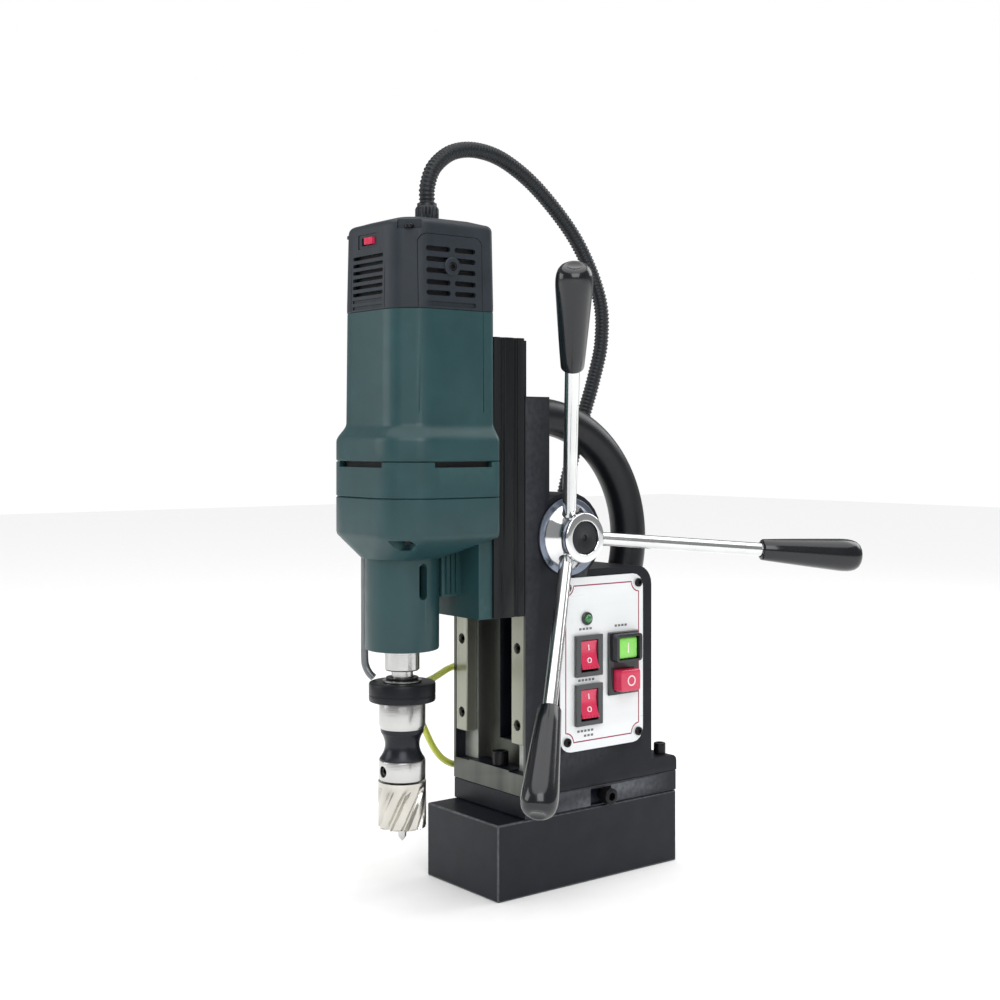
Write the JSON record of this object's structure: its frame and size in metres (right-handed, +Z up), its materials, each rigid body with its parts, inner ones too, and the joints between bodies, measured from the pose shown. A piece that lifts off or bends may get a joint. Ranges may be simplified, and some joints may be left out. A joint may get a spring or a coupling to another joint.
{
  "type": "magnetic drill press",
  "caption": "Portable magnetic drill press: a magnet base, a column with control box, and a motor slide fed by a three-spoke handle.",
  "frame": {"origin": "centre of the magnet's bottom face", "axes": "+Z up along the column and the spindle, -Y towards the spindle side, +X towards the control panel and feed handle"},
  "size_m": [0.2392, 0.3842, 0.5913],
  "materials": {
    "magnet_black": "matt black oxide on ground steel",
    "coil_copper": "enamelled copper winding",
    "resin": "potting resin",
    "column_black": "black painted casting, machined at the rails",
    "screw_black": "blackened steel",
    "rail_steel": "ground steel",
    "panel_white": "white lacquered sheet with a thin red border",
    "lamp_green": "translucent green lens",
    "bezel_grey": "grey moulding",
    "switch_black": "black moulding",
    "switch_red": "red moulding",
    "button_green": "green moulding",
    "board_green": "circuit board",
    "handle_black": "black powder coat",
    "conduit_black": "corrugated black conduit",
    "gland_black": "black cable gland",
    "brass": "turned brass",
    "hose_yellow": "lime yellow translucent hose",
    "bronze": "sintered bronze",
    "steel": "turned and ground steel",
    "chrome": "bright chromium plate",
    "grip_black": "gloss black moulding",
    "slide_black": "black machined slide",
    "motor_green": "dark teal paint",
    "cap_slate": "dark slate moulding",
    "field_iron": "laminated iron",
    "armature_copper": "wound armature",
    "ring_black": "black anodised",
    "rod_grey": "dark steel rod",
    "arbor_steel": "turned steel with a blackened waist",
    "cutter_steel": "ground tool steel"
  },
  "bodies": {
    "frame": {"magnet_base": "magnet_black", "magnet_coil": "coil_copper", "magnet_seal": "resin", "base_plate": "column_black", "front_base_bolt": "screw_black", "rear_base_bolt_left": "screw_black", "rear_base_bolt_right": "screw_black", "clamp_screw": "screw_black", "column_housing": "column_black", "guide_rail_left": "rail_steel", "guide_rail_right": "rail_steel", "control_panel": "panel_white", "pilot_lamp": "lamp_green", "rocker_frame_upper": "bezel_grey", "rocker_frame_lower": "bezel_grey", "start_stop_frame": "switch_black", "control_board": "board_green", "carry_handle": "handle_black", "conduit": "conduit_black", "conduit_gland_box": "gland_black", "mains_gland": "gland_black", "coolant_tap": "brass", "coolant_hose": "hose_yellow", "pinion_bush_left": "bronze", "pinion_bush_right": "bronze"},
    "feed_handle": {"pinion_shaft": "steel", "feed_hub": "chrome", "feed_spoke_1": "chrome", "feed_spoke_2": "chrome", "feed_spoke_3": "chrome", "feed_grip_1": "grip_black", "feed_grip_2": "grip_black", "feed_grip_3": "grip_black"},
    "carriage": {"carriage_slide": "slide_black", "feed_rack": "steel", "motor_housing": "motor_green", "motor_cap": "cap_slate", "vent_cover": "cap_slate", "conduit_gland_motor": "gland_black", "fan_ring": "motor_green", "gear_housing": "motor_green", "field_core": "field_iron", "spindle_bearing_lower": "steel", "spindle_bearing_upper": "steel", "coolant_ring": "ring_black", "hose_barb": "brass", "anti_rotation_rod": "rod_grey"},
    "spindle": {"spindle": "steel", "spindle_wheel": "steel", "arbor": "arbor_steel", "annular_cutter": "cutter_steel", "pilot_spring": "steel"},
    "pilot": {"pilot_pin": "steel"},
    "lay_shaft": {"lay_shaft": "steel"},
    "armature": {"armature": "armature_copper"},
    "rocker_upper": {"rocker_upper": "switch_red"},
    "rocker_lower": {"rocker_lower": "switch_red"},
    "start_button": {"start_button": "button_green"},
    "stop_button": {"stop_button": "switch_red"},
    "motor_switch": {"motor_switch": "switch_red"}
  },
  "joints": [
    {"name": "feed_slide", "type": "slide", "parent": "frame", "child": "carriage", "axis": [0, 0, 1], "range_m": [-0.1, 0.02], "deforming": ["conduit", "coolant_hose"]},
    {"name": "feed_handle_turn", "type": "hinge", "parent": "frame", "child": "feed_handle", "pos_m": [0, -0.025, 0.277], "axis": [1, 0, 0], "range_deg": [-97, 479]},
    {"name": "spindle_spin", "type": "hinge", "parent": "carriage", "child": "spindle", "pos_m": [0, -0.151, 0.18], "axis": [0, 0, 1], "continuous": true},
    {"name": "lay_shaft_spin", "type": "hinge", "parent": "carriage", "child": "lay_shaft", "pos_m": [0.01558, -0.12191, 0.297], "axis": [0, 0, 1], "continuous": true},
    {"name": "armature_spin", "type": "hinge", "parent": "carriage", "child": "armature", "pos_m": [0, -0.139, 0.34], "axis": [0, 0, 1], "continuous": true},
    {"name": "pilot_pin_slide", "type": "slide", "parent": "spindle", "child": "pilot", "axis": [0, 0, 1], "range_m": [0, 0.012], "stiffness_N_per_m": 150, "springref_m": -0.01, "deforming": ["pilot_spring"]},
    {"name": "rocker_upper_tilt", "type": "hinge", "parent": "frame", "child": "rocker_upper", "pos_m": [0.046, -0.006, 0.1815], "axis": [0, 1, 0], "range_deg": [0, 16]},
    {"name": "rocker_lower_tilt", "type": "hinge", "parent": "frame", "child": "rocker_lower", "pos_m": [0.046, -0.006, 0.1425], "axis": [0, 1, 0], "range_deg": [0, 16]},
    {"name": "start_button_press", "type": "slide", "parent": "frame", "child": "start_button", "axis": [-1, 0, 0], "range_m": [0, 0.003], "stiffness_N_per_m": 300, "springref_m": -0.002},
    {"name": "stop_button_press", "type": "slide", "parent": "frame", "child": "stop_button", "axis": [-1, 0, 0], "range_m": [0, 0.003], "stiffness_N_per_m": 300, "springref_m": -0.002},
    {"name": "motor_switch_slide", "type": "slide", "parent": "carriage", "child": "motor_switch", "axis": [1, 0, 0], "range_m": [-0.005, 0]}
  ],
  "couplings": [
    {"joint": "feed_handle_turn", "follows": "feed_slide", "rad_per_m": -83.333},
    {"joint": "lay_shaft_spin", "follows": "spindle_spin", "ratio": -2.6667},
    {"joint": "armature_spin", "follows": "spindle_spin", "ratio": 7.2}
  ]
}
